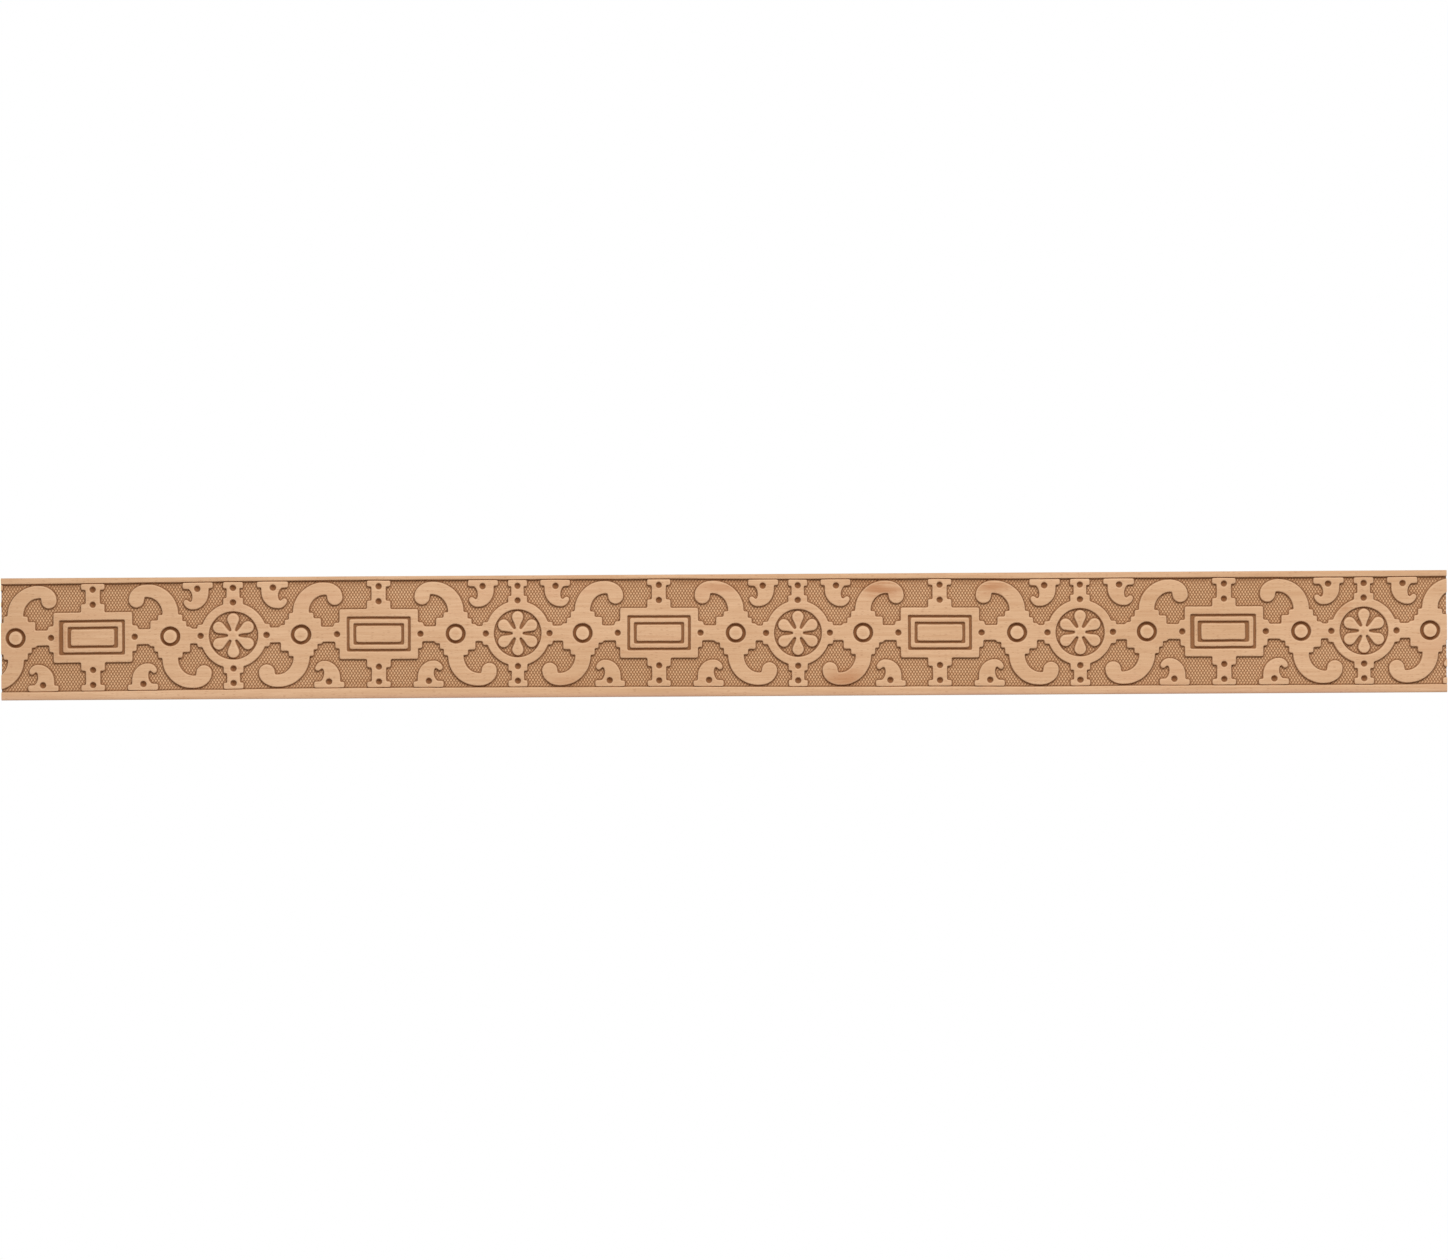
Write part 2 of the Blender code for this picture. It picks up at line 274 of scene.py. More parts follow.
def band_upper():
    first = degrees(asin(BAND_SHOULDER[1] / BAND_RADIUS))
    last = degrees(acos(BAND_BAR[0] / BAND_RADIUS))
    half = [(BAND_SHOULDER_FOOT, ARM), BAND_SHOULDER]
    half += arc((0, 0), (BAND_RADIUS, BAND_RADIUS), (first, last), STEPS_BAND)
    half += upright_bar(BAND_BAR, BAND_BAR_BLOCK_TOP, BAND_BAR_CAP_FOOT)
    return both_sides(half)


def band_lower():
    return [(u, -v) for u, v in band_upper()]


def rosette():
    head = arc((PETAL_HEAD_CENTRE, 0), (PETAL_HEAD_RADIUS, PETAL_HEAD_RADIUS),
               (-PETAL_HEAD_TURN, PETAL_HEAD_TURN), STEPS_PETAL)
    to_slot = pi / PETALS
    sides = list(SLOT_SIDE) + [(reach, -across) for reach, across in SLOT_SIDE[-2::-1]]
    slot = [(reach * cos(to_slot) + across * sin(to_slot), reach * sin(to_slot) - across * cos(to_slot))
            for reach, across in sides]
    points = []
    for index in range(PETALS):
        angle = radians(90 + index * 360 / PETALS)
        for r, w in head + slot:
            points.append((r * cos(angle) - w * sin(angle), r * sin(angle) + w * cos(angle)))
    return points


def bracket():
    edge = [(-BRACKET_FOOT, -CAP_TOP), (-BRACKET_FOOT, BRACKET_FOOT_TOP[0])]
    back = arc(**BRACKET_BACK, steps=STEPS_BRACKET["back"])
    edge += [(back[0][0], BRACKET_FOOT_TOP[0])] + back[:-1]
    edge += arc(**BRACKET_CROWN, steps=STEPS_BRACKET["crown"])
    edge += arc(**BRACKET_TIP, steps=STEPS_BRACKET["tip"])
    edge += list(BRACKET_NOTCH)
    edge += arc(**BRACKET_INSIDE, steps=STEPS_BRACKET["inside"])
    edge += [(BRACKET_FOOT, BRACKET_FOOT_TOP[1]), (BRACKET_FOOT, -CAP_TOP)]
    return edge


def dots_of(heights, side):
    places = [(0, way * height) for way in (-1, 1) for height in heights]
    return places + [(way * side, 0) for way in (-1, 1)]


def punched_dots():
    """Middles and radii of the dots round a tablet, half a repeat each way."""
    dots = [(u, v, DOT_RADIUS) for u, v in dots_of(TABLET_DOTS_HEIGHT, TABLET_DOT_SIDE)]
    at = BRACKET_FROM_RING + BRACKET_DOT[0]
    for rosette_at in (ROSETTE_FROM_TABLET, ROSETTE_FROM_TABLET - REPEAT):
        dots += [(rosette_at + u, v, DOT_RADIUS) for u, v in dots_of(BAND_DOTS_HEIGHT, BAND_DOT_SIDE)]
    for way in (-1, 1):
        ring_at = way * RING_FROM_TABLET
        dots += [(ring_at + way * at, BRACKET_DOT[1], BRACKET_DOT_RADIUS)]
        dots += [(ring_at - way * at, -BRACKET_DOT[1], BRACKET_DOT_RADIUS)]
    return dots


def softened(points, closed):
    """The outline with each sharp corner replaced by a small fillet."""
    count = len(points)
    out = []
    for index, (u, v) in enumerate(points):
        if not closed and index in (0, count - 1):
            out.append((u, v))
            continue
        before = Vector(points[index - 1]) - Vector((u, v))
        after = Vector(points[(index + 1) % count]) - Vector((u, v))
        turn = pi - before.angle(after, 0.0)
        if turn < radians(CORNER_FROM_DEGREES):
            out.append((u, v))
            continue
        reach = min(CORNER_RADIUS, CORNER_SHARE * before.length, CORNER_SHARE * after.length)
        start = Vector((u, v)) + before.normalized() * reach
        end = Vector((u, v)) + after.normalized() * reach
        for step in range(CORNER_STEPS + 1):
            t = step / CORNER_STEPS
            corner = start * (1 - t) ** 2 + Vector((u, v)) * 2 * t * (1 - t) + end * t ** 2
            out.append((corner.x, corner.y))
    return out


def divided(points, closed):
    """The outline with points added along its long straight stretches."""
    out = []
    ends = points[1:] + points[:1] if closed else points[1:]
    for (u, v), (next_u, next_v) in zip(points, ends):
        pieces = max(1, round(Vector((next_u - u, next_v - v)).length / LONGEST_STEP))
        out += [(u + (next_u - u) * k / pieces, v + (next_v - v) * k / pieces) for k in range(pieces)]
    return out if closed else out + points[-1:]


def motif_loops():
    """Closed outlines inside each motif: points, whether they stand up, and their arris."""
    tablet = [(rectangle(half), bool(index % 2), STRAP_ARRIS) for index, half in enumerate(TABLET_GROOVES)]
    tablet += [(circle(place, DOT_RADIUS, STEPS_DOT), False, STRAP_ARRIS)
               for place in dots_of(TABLET_DOTS_HEIGHT, TABLET_DOT_SIDE)]
    band = [(circle((0, 0), RECESS_RADIUS, STEPS_RECESS), False, STRAP_ARRIS), (rosette(), True, PETAL_ARRIS)]
    band += [(circle(place, DOT_RADIUS, STEPS_DOT), False, STRAP_ARRIS)
             for place in dots_of(BAND_DOTS_HEIGHT, BAND_DOT_SIDE)]
    standing = moved(bracket(), BRACKET_FROM_RING)
    dot = circle((BRACKET_FROM_RING + BRACKET_DOT[0], BRACKET_DOT[1]), BRACKET_DOT_RADIUS, STEPS_DOT)
    ring = [(circle((0, 0), RING_GROOVE[0], STEPS_RING), False, STRAP_ARRIS)]
    ring += [(circle((0, 0), RING_GROOVE[1], STEPS_BUTTON), True, BUTTON_ARRIS)]
    ring += [(standing, True, STRAP_ARRIS), (dot, False, STRAP_ARRIS)]
    ring += [(turned(standing), True, STRAP_ARRIS), (turned(dot), False, STRAP_ARRIS)]
    softer = []
    for group in (tablet, ring, band):
        softer.append([(divided(softened(loop, True), True), raised, arris) for loop, raised, arris in group])
    return softer


def motifs_between(low, high):
    tablet_own, ring_own, band_own = motif_loops()
    mirrored_own = [(mirrored(loop), raised, arris) for loop, raised, arris in ring_own]
    tablet = (tablet_upper(), tablet_lower(), tablet_own)
    ring = (ring_upper(), ring_lower(), ring_own)
    ring_mirrored = (mirrored(ring[0]), mirrored(ring[1]), mirrored_own)
    band = (band_upper(), band_lower(), band_own)
    places = []
    for index in range(-REPEATS_EACH_WAY, REPEATS_EACH_WAY + 1):
        start = FIRST_TABLET + index * REPEAT
        places += [(start, tablet), (start + RING_FROM_TABLET, ring)]
        places += [(start + ROSETTE_FROM_TABLET, band), (start + REPEAT - RING_FROM_TABLET, ring_mirrored)]
    return [place for place in places if low - MOTIF_REACH < place[0] < high + MOTIF_REACH]


def outlines_between(low, high):
    """Every outline of the raised work over a stretch of the run."""
    upper, lower, loops = [], [], []
    for along, (upper_edge, lower_edge, own) in motifs_between(low, high):
        upper += moved(upper_edge, along)
        lower += moved(lower_edge, along)
        loops += [(moved(loop, along), raised, arris) for loop, raised, arris in own]
    strap = divided(softened(upper, False), False) + divided(softened(lower, False), False)[::-1]
    return [(strap, True, STRAP_ARRIS)] + loops


def stood_off(loop, inward):
    """The loop moved towards its inside by a distance, with mitred corners."""
    ring = np.array(loop)
    after = np.roll(ring, -1, axis=0)
    area = np.sum(ring[:, 0] * after[:, 1] - after[:, 0] * ring[:, 1])
    run = after - ring
    run /= np.maximum(np.hypot(run[:, 0], run[:, 1]), TINY)[:, None]
    left = np.stack([-run[:, 1], run[:, 0]], axis=1) * np.sign(area)
    before = np.roll(left, 1, axis=0)
    spread = np.maximum(1 + np.sum(left * before, axis=1), MITRE_LIMIT)
    return ring + (left + before) / spread[:, None] * inward


def from_rosette(points):
    """Distance of each point from the middle of the nearest rosette."""
    along = np.mod(points[:, 0] - FIRST_TABLET - ROSETTE_FROM_TABLET + REPEAT / 2, REPEAT) - REPEAT / 2
    return np.hypot(along, points[:, 1])


class Relief:
    """Height of the carved face at any point of the pattern."""

    def __init__(self):
        starts, ends, arrises = [], [], []
        for loop, _, arris in outlines_between(FIRST_TABLET, FIRST_TABLET + REPEAT):
            ring = np.array(loop)
            starts.append(ring)
            ends.append(np.roll(ring, -1, axis=0))
            arrises += [arris] * len(ring)
        self.start = np.concatenate(starts)
        self.end = np.concatenate(ends)
        self.arris = np.array(arrises)
        near = np.maximum(self.start[:, 0], self.end[:, 0]) > FIRST_TABLET - END_SPARE
        near &= np.minimum(self.start[:, 0], self.end[:, 0]) < FIRST_TABLET + REPEAT + END_SPARE
        self.start, self.end, self.arris = self.start[near], self.end[near], self.arris[near]

    def depth_in(self, points):
        """Signed distance to the nearest outline, positive on raised work, its arris, and which way it lies:

        1 where the outline is straight above the point, and -1 where it is straight below."""
        distance = np.empty(len(points))
        above = np.empty(len(points))
        arris = np.empty((len(points), 2))
        folded = FIRST_TABLET + np.mod(points[:, 0] - FIRST_TABLET, REPEAT)
        order = np.argsort(folded, kind="stable")
        lowest = np.minimum(self.start[:, 0], self.end[:, 0])
        highest = np.maximum(self.start[:, 0], self.end[:, 0])
        for first in range(0, len(points), CHUNK):
            chosen = order[first:first + CHUNK]
            u, v = folded[chosen, None], points[chosen, 1, None]
            near = (highest > u.min() - LOOK_AWAY) & (lowest < u.max() + LOOK_AWAY)
            (su, sv), (eu, ev) = self.start[near].T, self.end[near].T
            ru, rv = eu - su, ev - sv
            t = np.clip(((u - su) * ru + (v - sv) * rv) / np.maximum(ru * ru + rv * rv, TINY), 0, 1)
            rise = sv + t * rv - v
            gap = (u - su - t * ru) ** 2 + rise ** 2
            nearest = np.argmin(gap, axis=1)
            least = np.sqrt(gap[np.arange(len(gap)), nearest])
            spans = (su <= u) != (eu <= u)
            crossing = sv + (u - su) * rv / np.where(np.abs(ru) < TINY, TINY, ru)
            inside = np.sum(spans & (crossing > v), axis=1) % 2 == 1
            distance[chosen] = np.where(inside, least, -least)
            arris[chosen] = self.arris[near][nearest]
            above[chosen] = rise[np.arange(len(gap)), nearest] / np.maximum(least, TOUCHING)
        to_fillet = np.maximum(points[:, 1] - FIELD_TOP, FIELD_BOTTOM - points[:, 1])
        fillet = (distance <= 0) & (to_fillet > distance)
        distance = np.where(fillet, to_fillet, distance)
        arris[fillet] = STRAP_ARRIS
        above = np.where(fillet, np.sign(points[:, 1]), above)
        return distance, arris, above

    def plain_floor(self, points):
        """Where the sunk work has a plain floor, and that floor's height over the ground."""
        du = np.mod(points[:, 0] - FIRST_TABLET + REPEAT / 2, REPEAT) - REPEAT / 2
        v = points[:, 1]
        half_run, half_rise = TABLET_GROOVES[0]
        plain = (np.abs(du) < half_run + PLAIN_MARGIN) & (np.abs(v) < half_rise + PLAIN_MARGIN)
        floor = np.zeros(len(points))
        for way in (-1, 1):
            ring = np.hypot(du - way * RING_FROM_TABLET, v) < RING_GROOVE[0] + PLAIN_MARGIN
            plain |= ring
            floor = np.where(ring, -RING_SINK, floor)
        plain |= from_rosette(points) < SLOT_REACH[0]
        for u, w, radius in punched_dots():
            away = np.hypot(du - u, v - w)
            here = away < radius + PLAIN_MARGIN
            plain |= here
            floor = np.where(here, -DOT_DISH * (1 - np.minimum(away / radius, 1)), floor)
        return plain, floor

    def ground(self, points):
        plain, floor = self.plain_floor(points)
        along = points[:, 0] / HATCH_ACROSS
        up = points[:, 1] / HATCH_UP
        falling = np.abs(np.mod(along + up + 0.5, 1) - 0.5)
        rising = np.abs(np.mod(along - up + 0.5, 1) - 0.5)
        cut = 0.5 * (1 - LOZENGE_TOP)
        hatch = np.zeros(len(points))
        for depth, side in zip(HATCH_DEPTH, (rising, falling)):
            hatch = np.minimum(hatch, -depth * (1 - np.minimum(side / cut, 1)))
        return np.where(plain, floor, hatch), plain

    def __call__(self, points):
        depth, arris, above = self.depth_in(points)
        ground, plain = self.ground(points)
        back = 1 - np.clip(depth / arris[:, 0], 0, 1)
        top = RELIEF - arris[:, 1] * (1 - np.sqrt(1 - back ** 2))
        share = np.clip(1 + depth / WALL_RUN, 0, 1) ** WALL_CURVE
        wall = ground + (RELIEF - arris[:, 1] - ground) * share
        height = np.where(depth >= 0, top, wall)
        for edge, way, (across, down) in OUTER_EDGES:
            inset = (edge - points[:, 1]) * way
            rounding = np.clip(1 - inset / across, 0, 1)
            height -= down * (1 - np.sqrt(1 - rounding ** 2))
        # Painted highlight: full at the edge of the raised work, fading in over the arris and down the wall
        painted_highlight = np.clip((1 - depth / arris[:, 0]) / HIGHLIGHT_SHARE, 0, 1) * np.clip(1 + depth / WALL_RUN, 0, 1)
        return height, depth, plain, painted_highlight, above


relief = Relief()


class Drawing:
    """Points and lines of the flat layout that the carved face is raised from."""

    def __init__(self):
        self.points = []
        self.lines = []
        self.count = 0

    def add(self, points, lines):
        self.points.append(np.asarray(points, dtype=float))
        self.lines.append(np.asarray(lines, dtype=int) + self.count)
        self.count += len(points)

    def add_loop(self, points):
        count = len(points)
        index = np.arange(count)
        self.add(points, np.stack([index, (index + 1) % count], axis=1))

    def add_path(self, points):
        index = np.arange(len(points) - 1)
        self.add(points, np.stack([index, index + 1], axis=1))


def crossed_cuts(half_run):
    """Bottoms of the crossed cuts and the edges of the lozenges between them: points and lines."""
    columns = int(half_run / (HATCH_ACROSS / 2))
    rows = int(max(-EDGE_BOTTOM, EDGE_TOP) / (HATCH_UP / 2))
    i, j = np.meshgrid(np.arange(-columns, columns + 1), np.arange(-rows, rows + 1), indexing="ij")
    index = -np.ones(i.shape, dtype=int)
    crossing = (i + j) % 2 == 0
    index[crossing] = np.arange(crossing.sum())
    points = np.stack([i[crossing] * HATCH_ACROSS / 2, j[crossing] * HATCH_UP / 2], axis=1)
    lines = []
    for step in (1, -1):
        a = index[:-1, 1:] if step < 0 else index[:-1, :-1]
        b = index[1:, :-1] if step < 0 else index[1:, 1:]
        both = (a >= 0) & (b >= 0)
        lines.append(np.stack([a[both], b[both]], axis=1))
    lines = np.concatenate(lines)
    middles = np.stack([i[~crossing] * HATCH_ACROSS / 2, j[~crossing] * HATCH_UP / 2], axis=1)
    half = np.array([HATCH_ACROSS, HATCH_UP]) / 2 * LOZENGE_TOP
    corners = [middles + half * np.array(way) for way in ((-1, 0), (0, -1), (1, 0), (0, 1))]
    tops = np.stack(corners, axis=1).reshape(-1, 2)
    base = np.arange(len(middles)) * 4
    top_lines = np.concatenate([np.stack([base + k, base + (k + 1) % 4], axis=1) for k in range(4)])
    return np.concatenate([points, tops]), np.concatenate([lines, top_lines + len(points)])


def on_open_ground(points, lines):
    """The lines cut off at the foot of the raised work."""
    plain, _ = relief.plain_floor(points)
    foot = -WALL_RUN - FOOT_GAP
    open_ground = (relief.depth_in(points)[0] < foot) & ~plain
    ends = open_ground[lines]
    whole = lines[ends.all(axis=1)]
    crossing = lines[ends[:, 0] != ends[:, 1]]
    swapped = ~open_ground[crossing[:, 0]]
    crossing[swapped] = crossing[swapped][:, ::-1]
    start, run = points[crossing[:, 0]], points[crossing[:, 1]] - points[crossing[:, 0]]
    low, high = np.zeros(len(crossing)), np.ones(len(crossing))
    for _ in range(FOOT_HALVINGS):
        middle = (low + high) / 2
        clear = relief.depth_in(start + run * middle[:, None])[0] < foot
        low, high = np.where(clear, middle, low), np.where(clear, high, middle)
    long_enough = low * np.hypot(run[:, 0], run[:, 1]) > FOOT_GAP
    cut_ends = (start + run * low[:, None])[long_enough]
    cut_lines = np.stack([crossing[long_enough][:, 0], len(points) + np.arange(len(cut_ends))], axis=1)
    points = np.concatenate([points, cut_ends])
    lines = np.concatenate([whole, cut_lines])
    used = np.unique(lines)
    renumbered = -np.ones(len(points), dtype=int)
    renumbered[used] = np.arange(len(used))
    return points[used], renumbered[lines]


def carved_layout():
    half_run = LENGTH / 2 + RUN_SPARE
    drawing = Drawing()
    for loop, raised, arris in outlines_between(-half_run, half_run):
        way = 1 if raised else -1
        for inward in (-WALL_RUN, *(share * arris[0] for share in ARRIS_LINES)):
            drawing.add_loop(stood_off(loop, way * inward) if inward else loop)
    along = np.linspace(-half_run, half_run, int(2 * half_run / STRAIGHT_STEP))
    levels = [FIELD_TOP + STRAP_ARRIS[0] * share for share in ARRIS_LINES]
    levels += [FIELD_BOTTOM - STRAP_ARRIS[0] * share for share in ARRIS_LINES]
    levels += [FIELD_TOP - WALL_RUN, FIELD_BOTTOM + WALL_RUN]
    for edge, way, (across, _) in OUTER_EDGES:
        levels += [edge - way * across * share for share in OUTER_EDGE_LINES]
    for level in levels:
        drawing.add_path(np.stack([along, np.full(len(along), level)], axis=1))
    drawing.add(*on_open_ground(*crossed_cuts(half_run)))
    for index in range(-REPEATS_EACH_WAY, REPEATS_EACH_WAY + 1):
        for u, v, radius in punched_dots():
            middle = FIRST_TABLET + index * REPEAT + u
            if abs(middle) < half_run and abs(u) < REPEAT / 2:
                drawing.add_loop(circle((middle, v), DOT_CORE * radius, STEPS_DOT_CORE))
                drawing.add([(middle, v)], np.empty((0, 2), dtype=int))
    points = np.concatenate(drawing.points)
    inside = np.abs(points[:, 0]) <= half_run + MOTIF_REACH
    lines = np.concatenate(drawing.lines)
    lines = lines[inside[lines].all(axis=1)]
    flat = [Vector(point) for point in points]
    verts, _, faces, _, _, _ = delaunay_2d_cdt(flat, lines.tolist(), [], 0, MERGE_WITHIN, False)
    spots = np.array([(vert.x, vert.y) for vert in verts])
    faces = np.array(faces)
    centres = spots[faces].mean(axis=1)
    kept = (centres[:, 1] < EDGE_TOP) & (centres[:, 1] > EDGE_BOTTOM) & (np.abs(centres[:, 0]) < half_run)
    return spots, faces[kept]


def unevenness(spots):
    """Creep, a slow sway and a small wobble of the cutter, so that no two repeats are quite alike."""
    shift = np.zeros((len(spots), 3))
    places, along, up = np.array(CREEP).T
    run = np.arange(places[0], places[-1])
    spread = np.exp(-0.5 * ((run[:, None] - run[None, :]) / CREEP_BLEND) ** 2)
    spread /= spread.sum(axis=1)[:, None]
    for axis, values in ((0, along), (1, up)):
        shift[:, axis] = np.interp(spots[:, 0], run, spread @ np.interp(run, places, values))
    beside = np.abs(spots[:, 1]) < TABLET_GROOVES[0][1] + 2 * STRAP_ARRIS[0]
    for repeats, side, slip in SLIPS:
        away = (spots[:, 0] - FIRST_TABLET - repeats * REPEAT - side) / SLIP_REACH
        shift[:, 0] += slip * np.exp(-0.5 * away ** 2) * beside
    noise.seed_set(SEED)
    for reach, length, layer in (SWAY, WOBBLE):
        swung = [noise.noise_vector((u / length, v / length, layer)) for u, v in spots.tolist()]
        shift += reach * np.array(swung)
    return shift


def placed(spots, height, depth):
    """Where each point of the layout lies in space, in millimetres."""
    shift = unevenness(spots)
    calm = np.clip(np.minimum(EDGE_TOP - spots[:, 1], spots[:, 1] - EDGE_BOTTOM) / CALM_EDGE, 0, 1)
    level = THICKNESS - RELIEF + height
    level += np.where(depth < 0, shift[:, 2], -np.abs(shift[:, 2])) * calm * UNEVEN_HEIGHT
    place = np.stack([spots[:, 0] + shift[:, 0] * calm, -level, spots[:, 1] + shift[:, 1] * calm], axis=1)
    place[:, 2] += AXIS_ABOVE_MIDDLE
    return place


def hollowness(spots, height):
    """How deep each point lies between the top of the relief and the bottom of the cuts, from 0 to 1."""
    hollow = np.clip((RELIEF - height) / (RELIEF + HATCH_DEPTH[0]), 0, 1)
    hollow[(spots[:, 1] > FIELD_TOP) | (spots[:, 1] < FIELD_BOTTOM)] = 0
    return hollow


def shade_in_nooks(spots, height, depth, plain, above):
    """How much of the light is lost at the foot of the walls and in the grooves, from 0 to 1."""
    # Painted shadow: the shade reaches further over the ground below the raised work and below the upper
    # fillet
    fade = NOOK_FADE[0] + (NOOK_FADE[1] - NOOK_FADE[0]) * np.clip(above, 0, 1)
    fade = np.where(FIELD_TOP - spots[:, 1] < -depth + FILLET_TIE, FILLET_FADE, fade)
    fade = np.where(from_rosette(spots) < RECESS_RADIUS, RECESS_FADE, fade)
    nook = np.exp(-np.maximum(-depth - WALL_RUN, 0) / fade) * np.clip(-depth / WALL_RUN, 0, 1)
    nook[plain & (depth < 0)] *= GROOVE_SHARE
    sunk = plain & (depth < -WALL_RUN / 2)
    nook[sunk] = GROOVE_SHARE + (1 - GROOVE_SHARE) * np.clip(-height[sunk] / DOT_DISH, 0, 1)
    in_slot = np.clip((SLOT_REACH[1] - from_rosette(spots)) / (SLOT_REACH[1] - SLOT_REACH[0]), 0, 1)
    return np.where(depth < -WALL_RUN / 2, np.maximum(nook, GROOVE_SHARE * in_slot), nook)


def carved_face():
    """The uneven carved face as an open shape, a little longer than the moulding."""
    spots, faces = carved_layout()
    height, depth, plain, painted_highlight, above = relief(spots)
    place = placed(spots, height, depth) / MM
    marks = {"hollow": hollowness(spots, height),
             "nook": shade_in_nooks(spots, height, depth, plain, above),
             "painted_highlight": painted_highlight}
    used = np.unique(faces)
    renumbered = -np.ones(len(spots), dtype=int)
    renumbered[used] = np.arange(len(used))
    shape = bmesh.new()
    for name in marks:
        shape.verts.layers.float.new(name)
    layers = {name: shape.verts.layers.float[name] for name in marks}
    verts = []
    for index in used:
        vert = shape.verts.new(place[index])
        for name, layer in layers.items():
            vert[layer] = marks[name][index]
        verts.append(vert)
    for face in renumbered[faces]:
        shape.faces.new([verts[corner] for corner in face])
    return shape, list(layers.values())


def saw_ends(shape):
    """Cuts the face square at both ends of the length."""
    for way in (-1, 1):
        everything = shape.verts[:] + shape.edges[:] + shape.faces[:]
        end = (way * LENGTH / 2 / MM, 0, 0)
        bmesh.ops.bisect_plane(shape, geom=everything, dist=SAWN_WITHIN, plane_co=end, plane_no=(way, 0, 0),
                               clear_outer=True)


def open_edges(shape):
    return [edge for edge in shape.edges if edge.is_boundary]


def close_behind(shape, layers):
    """Carries the sides and ends down from the carved face to the flat back, with a fine arris round it."""
    for setback, inset in ((None, 0), (BACK_ARRIS, 0), (0, BACK_ARRIS)):
        grown = bmesh.ops.extrude_edge_only(shape, edges=open_edges(shape))["geom"]
        half_length = (LENGTH / 2 - inset) / MM
        half_width = (WIDTH / 2 - inset) / MM
        for vert in grown:
            if isinstance(vert, bmesh.types.BMVert):
                vert.co.x = min(max(vert.co.x, -half_length), half_length)
                vert.co.y = vert.co.y + EDGE_LINE / MM if setback is None else -setback / MM
                vert.co.z = min(max(vert.co.z, -half_width), half_width)
                for layer in layers:
                    vert[layer] = 0
    back = bmesh.ops.contextual_create(shape, geom=open_edges(shape))["faces"]
    bmesh.ops.triangulate(shape, faces=back)


def carved_mesh():
    shape, layers = carved_face()
    saw_ends(shape)
    close_behind(shape, layers)
    bmesh.ops.recalc_face_normals(shape, faces=shape.faces)
    for face in shape.faces:
        face.smooth = True
    for edge in shape.edges:
        edge.smooth = len(edge.link_faces) == 2 and edge.calc_face_angle(0) < radians(SHARP_FROM_DEGREES)
    mesh = bpy.data.meshes.new("carved_moulding")
    shape.to_mesh(mesh)
    shape.free()
    return mesh


class Nodes:
    """Adds and joins the nodes of one material."""

    def __init__(self, name):
        self.material = bpy.data.materials.new(name)
        self.material.use_nodes = True
        self.tree = self.material.node_tree
        self.shader = self.tree.nodes["Principled BSDF"]

    def add(self, kind, inputs=(), **settings):
        node = self.tree.nodes.new(kind)
        for key, value in settings.items():
            setattr(node, key, value)
        for socket, value in dict(inputs).items():
            self.feed(node.inputs[socket], value)
        return node

    def feed(self, socket, value):
        if isinstance(value, bpy.types.NodeSocket):
            self.tree.links.new(value, socket)
        else:
            socket.default_value = value

    def calc(self, operation, *values):
        node = self.add("ShaderNodeMath", operation=operation)
        for socket, value in zip(node.inputs, values):
            self.feed(socket, value)
        return node.outputs[0]

    def stretched(self, place, scale, shift=(0, 0, 0)):
        node = self.add("ShaderNodeMapping", {"Vector": place})
        node.inputs["Scale"].default_value = scale
        node.inputs["Location"].default_value = shift
        return node.outputs[0]

    def noise(self, place, scale=1.0, detail=3.0, roughness=0.55, distortion=0.0):
        node = self.add("ShaderNodeTexNoise", {"Vector": place, "Scale": scale, "Detail": detail,
                                               "Roughness": roughness, "Distortion": distortion})
        return node.outputs["Fac"]

    def span(self, value, low, high, out_low=0.0, out_high=1.0):
        inputs = {"Value": value, "From Min": low, "From Max": high, "To Min": out_low, "To Max": out_high}
        return self.add("ShaderNodeMapRange", inputs).outputs[0]

    def separate(self, vector, axis):
        return self.add("ShaderNodeSeparateXYZ", {0: vector}).outputs[axis]

    def vector(self, operation, *values):
        return self.add("ShaderNodeVectorMath", dict(enumerate(values)), operation=operation)

    def attribute(self, name):
        return self.add("ShaderNodeAttribute", attribute_name=name).outputs["Fac"]

    def mix(self, share, first, second):
        node = self.add("ShaderNodeMix", data_type="RGBA")
        self.feed(node.inputs[0], share)
        self.feed(node.inputs[6], first)
        self.feed(node.inputs[7], second)
        return node.outputs[2]


def from_srgb(red, green, blue):
    linear = []
    for value in (red, green, blue):
        share = value / 255
        linear.append(share / 12.92 if share <= 0.04045 else ((share + 0.055) / 1.055) ** 2.4)
    return (*linear, 1.0)


# Tones of the wood, as a screen shows them, with the colours of the painted shade and highlight among them
WOOD_PALE = from_srgb(228, 187, 149)
WOOD_MIDDLE = from_srgb(218, 176, 137)
STREAK_BROWN = from_srgb(198, 150, 110)
FIBRE_BROWN = from_srgb(184, 132, 94)
FLECK_BROWN = from_srgb(156, 104, 70)
BLUSH_PINK = from_srgb(214, 156, 124)
# Reddish-brown of the wood's tinge, also used for painted shadow below the upper fillet
TINGE_AND_SHADOW_BROWN = from_srgb(176, 110, 66)
# Painted highlight along the arrises
HIGHLIGHT_PALE = from_srgb(238, 200, 162)
LOWER_BAND_PINK = from_srgb(208, 160, 138)
DEEP_GOLD = from_srgb(236, 190, 141)
# Painted shade in the cuts and at the foot of the walls, partly the darker burnish of the pressed wood
SHADE_AND_BURNISH_BROWN = from_srgb(116, 60, 4)
SAWN_BROWN = from_srgb(164, 116, 78)

# How fine the wood's marks are along the run, through the board and up it, as repeats in a metre
BOARD_TONE_FINENESS = (5, 5, 16)
STREAK_FINENESS = (22, 260, 620)
FIBRE_FINENESS = (90, 1500, 3600)
FLECK_FINENESS = (260, 1100, 1500)
BLUSH_FINENESS = (9, 9, 26)
BLUSH_SHIFT = (3.7, 0, 1.9)
STRAY_FINENESS = (40, 200, 400)
PORE_FINENESS = (1, 2600, 2600)

